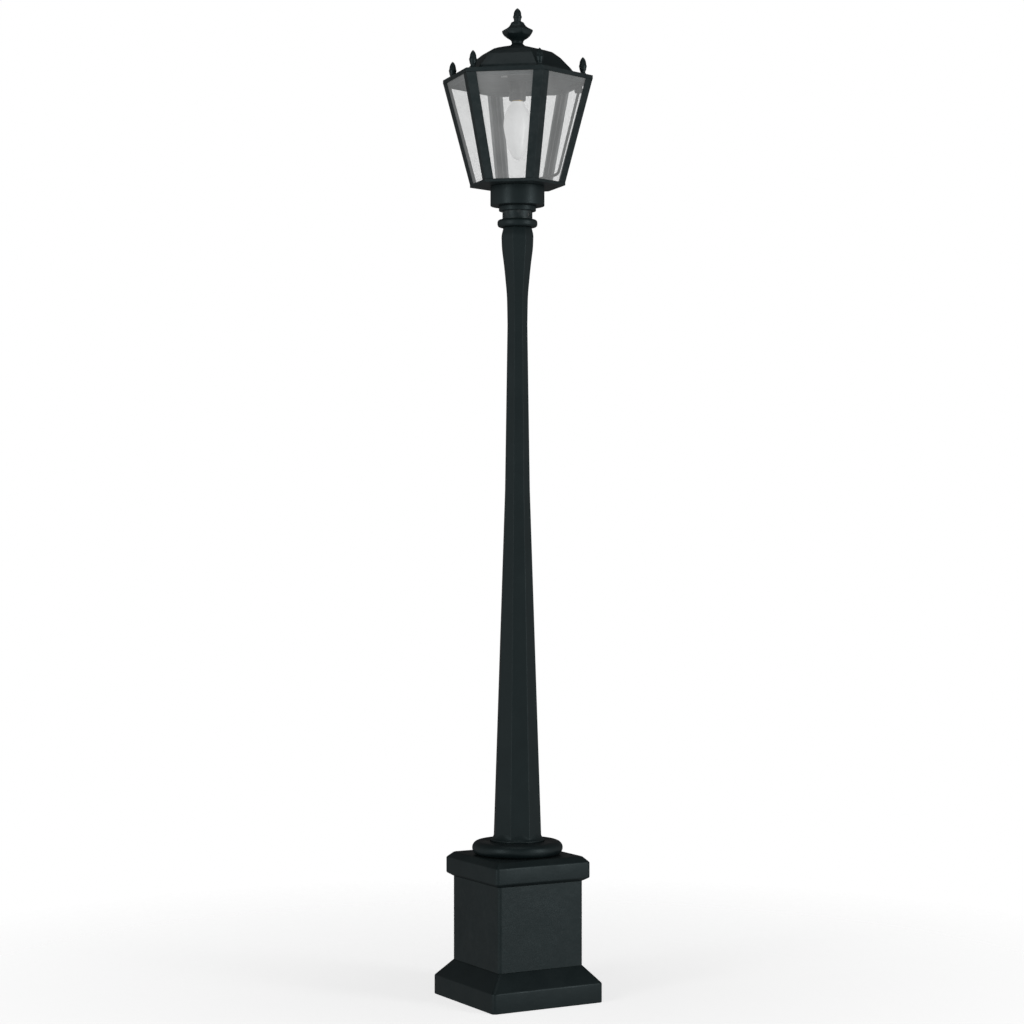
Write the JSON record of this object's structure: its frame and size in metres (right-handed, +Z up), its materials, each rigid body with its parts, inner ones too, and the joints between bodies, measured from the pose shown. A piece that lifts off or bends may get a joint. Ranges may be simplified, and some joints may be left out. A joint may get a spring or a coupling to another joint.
{
  "type": "street lamp",
  "caption": "Cast street lamp: six-sided glazed lantern with hinged canopy on an octagonal post and a square pedestal with a service door.",
  "frame": {"origin": "ground level at the centre of the pedestal", "axes": "+Z up along the post; X and Y along the pedestal's sides; the service door is on +Y"},
  "size_m": [0.466, 0.4856, 3.2],
  "materials": {
    "painted_iron": "satin near-black paint on cast iron, lightly mottled",
    "painted_lantern": "satin near-black paint on sheet and cast aluminium",
    "ceiling_paint": "matt dark grey paint",
    "glass": "clear toughened glass with a faint grey veil",
    "frosted_glass": "internally coated lamp glass, soft white",
    "black_plastic": "moulded, fine texture",
    "rubber": "black, matt",
    "zinc_steel": "zinc plated",
    "stainless": "turned, brushed",
    "brass": "plain, slightly dulled",
    "ceramic": "glazed off-white",
    "dark_ceramic": "dark glazed",
    "board": "varnished plywood",
    "gear_steel": "grey varnished steel"
  },
  "bodies": {
    "standard": {"base_frame": "painted_lantern", "base_ring": "painted_iron", "board_fixings": "zinc_steel", "canopy_gasket": "rubber", "canopy_hinge_fixed": "painted_lantern", "collar_ring": "painted_iron", "column_shaft": "painted_iron", "corner_bar_1": "painted_lantern", "corner_bar_2": "painted_lantern", "corner_bar_3": "painted_lantern", "corner_bar_4": "painted_lantern", "corner_bar_5": "painted_lantern", "corner_bar_6": "painted_lantern", "cutout_base": "black_plastic", "cutout_gland": "black_plastic", "door_hinge_pins": "zinc_steel", "earth_stud": "brass", "equipment_board": "board", "fitter_cup": "painted_iron", "fitter_disc": "painted_iron", "flange_bolts": "zinc_steel", "glass_pane_1": "glass", "glass_pane_2": "glass", "glass_pane_3": "glass", "glass_pane_4": "glass", "glass_pane_5": "glass", "glass_pane_6": "glass", "glazing_beads": "ceiling_paint", "grub_screws": "zinc_steel", "isolator_socket": "black_plastic", "lantern_spigot": "zinc_steel", "neck_sleeve": "painted_iron", "pedestal_box": "painted_iron", "pedestal_cap": "painted_iron", "plinth_foot": "painted_iron", "shaft_bolts": "zinc_steel", "supply_cable": "rubber", "top_rail": "painted_lantern"},
    "canopy": {"canopy_ring": "painted_lantern", "roof_dome": "painted_lantern", "ceiling_tray": "ceiling_paint", "tray_spacers": "zinc_steel", "finial_stem": "painted_lantern", "finial_knop": "painted_lantern", "finial_acorn": "painted_lantern", "finial_rod": "zinc_steel", "corner_finials": "painted_lantern", "ballast": "gear_steel", "ignitor": "gear_steel", "lampholder": "dark_ceramic", "canopy_hinge_moving": "painted_lantern", "isolator_plug": "black_plastic"},
    "canopy_catch": {"canopy_catch": "stainless"},
    "lamp": {"lamp_envelope": "frosted_glass", "lamp_cap": "brass"},
    "access_door": {"access_door": "painted_iron", "door_lock_barrel": "stainless"},
    "door_lock": {"door_lock_cam": "stainless"},
    "fuse_carrier": {"fuse_carrier": "black_plastic", "fuse_link": "ceramic"}
  },
  "joints": [
    {"name": "canopy_hinge", "type": "hinge", "parent": "standard", "child": "canopy", "pos_m": [0.14311, 0.16697, 2.96185], "axis": [-0.7593, 0.6508, 0], "range_deg": [0, 100]},
    {"name": "canopy_catch_turn", "type": "hinge", "parent": "canopy", "child": "canopy_catch", "pos_m": [-0.11779, -0.13743, 2.96], "axis": [0, 0, 1], "range_deg": [0, 90]},
    {"name": "lamp_draw", "type": "slide", "parent": "canopy", "child": "lamp", "axis": [0, 0, -1], "range_m": [0, 0.045]},
    {"name": "door_hinge", "type": "hinge", "parent": "standard", "child": "access_door", "pos_m": [-0.1055, 0.1605, 0.25], "axis": [0, 0, 1], "range_deg": [0, 110]},
    {"name": "door_lock_turn", "type": "hinge", "parent": "access_door", "child": "door_lock", "pos_m": [0.07, 0.15, 0.25], "axis": [0, -1, 0], "range_deg": [0, 90]},
    {"name": "fuse_carrier_draw", "type": "slide", "parent": "standard", "child": "fuse_carrier", "axis": [0, 1, 0], "range_m": [0, 0.04]}
  ]
}
